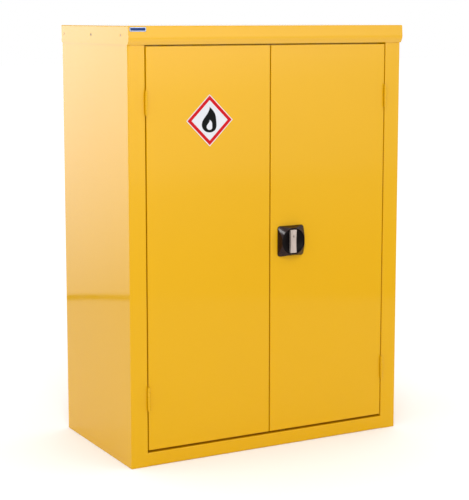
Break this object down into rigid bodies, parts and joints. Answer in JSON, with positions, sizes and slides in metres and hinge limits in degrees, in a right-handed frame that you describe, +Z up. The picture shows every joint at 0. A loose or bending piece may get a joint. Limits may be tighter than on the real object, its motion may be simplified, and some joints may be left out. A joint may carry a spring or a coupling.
{
  "type": "flammable storage cabinet",
  "caption": "Free-standing two-door steel cabinet for flammable liquids: inset doors, overhanging lid, turn-handle lock with two latch rods, shelves and a sump tray.",
  "frame": {"origin": "middle of the overall box, on the floor", "axes": "+X to the right of a person facing the doors, +Y into the cabinet, +Z up"},
  "size_m": [0.87, 0.4796, 1.2],
  "materials": {
    "yellow_paint": "smooth gloss powder coat",
    "inner_paint": "smooth satin powder coat",
    "dark_screw": "blackened steel screw",
    "zinc": "bright zinc plate",
    "badge_blue": "plain gloss film",
    "label_white": "plain vinyl film",
    "catch_plastic": "moulded",
    "buffer_rubber": "soft rubber",
    "lock_plastic": "glossy black-brown moulding",
    "guide_plastic": "moulded nylon",
    "grip_metal": "satin die-cast metal"
  },
  "bodies": {
    "carcass": {"left_side_panel": "yellow_paint", "right_side_panel": "yellow_paint", "back_panel": "yellow_paint", "top_cap": "yellow_paint", "cap_corner_screws": "yellow_paint", "cap_middle_screws": "dark_screw", "header_rail": "yellow_paint", "base_pan": "yellow_paint", "lower_stop": "yellow_paint", "upper_stop": "yellow_paint", "sump_tray": "inner_paint", "upright_left_front": "inner_paint", "upright_left_rear": "inner_paint", "upright_right_front": "inner_paint", "upright_right_rear": "inner_paint", "lower_shelf": "inner_paint", "upper_shelf": "inner_paint", "shelf_clips": "zinc", "badge": "badge_blue", "magnetic_catch": "catch_plastic", "left_lower_frame_leaf": "yellow_paint", "left_upper_frame_leaf": "yellow_paint", "right_lower_frame_leaf": "yellow_paint", "right_upper_frame_leaf": "yellow_paint", "left_lower_hinge_pin": "yellow_paint", "left_upper_hinge_pin": "yellow_paint", "right_lower_hinge_pin": "yellow_paint", "right_upper_hinge_pin": "yellow_paint"},
    "left_door": {"left_door_skin": "yellow_paint", "left_door_stiffener": "yellow_paint", "left_lower_door_leaf": "yellow_paint", "left_upper_door_leaf": "yellow_paint", "left_door_buffers": "buffer_rubber", "label_plate": "label_white", "catch_plate": "zinc"},
    "right_door": {"right_door_skin": "yellow_paint", "right_door_stiffener": "yellow_paint", "right_lower_door_leaf": "yellow_paint", "right_upper_door_leaf": "yellow_paint", "right_door_buffers": "buffer_rubber", "lock_housing": "lock_plastic", "lock_nut": "zinc", "rod_guides": "guide_plastic"},
    "handle": {"handle_dish": "lock_plastic", "handle_grip": "grip_metal", "lock_cam": "zinc", "cam_screw": "zinc"},
    "key": {"key_plug": "grip_metal"},
    "upper_rod": {"upper_rod": "zinc"},
    "lower_rod": {"lower_rod": "zinc"}
  },
  "joints": [
    {"name": "left_door_swing", "type": "hinge", "parent": "carcass", "child": "left_door", "pos_m": [-0.3819, -0.2243, 0.5945], "axis": [0, 0, -1], "range_deg": [0, 170]},
    {"name": "right_door_swing", "type": "hinge", "parent": "carcass", "child": "right_door", "pos_m": [0.3819, -0.2243, 0.5945], "axis": [0, 0, 1], "range_deg": [0, 170]},
    {"name": "handle_turn", "type": "hinge", "parent": "right_door", "child": "handle", "pos_m": [0.066, -0.2198, 0.5945], "axis": [0, -1, 0], "range_deg": [0, 90]},
    {"name": "key_turn", "type": "hinge", "parent": "handle", "child": "key", "pos_m": [0.066, -0.2348, 0.6085], "axis": [0, 1, 0], "range_deg": [0, 90]},
    {"name": "upper_rod_slide", "type": "slide", "parent": "right_door", "child": "upper_rod", "axis": [0, 0, 1], "range_m": [0, 0.02121]},
    {"name": "lower_rod_slide", "type": "slide", "parent": "right_door", "child": "lower_rod", "axis": [0, 0, -1], "range_m": [0, 0.02121]}
  ],
  "couplings": [
    {"joint": "upper_rod_slide", "follows": "handle_turn", "m_per_rad": 0.013505},
    {"joint": "lower_rod_slide", "follows": "handle_turn", "m_per_rad": 0.013505}
  ]
}
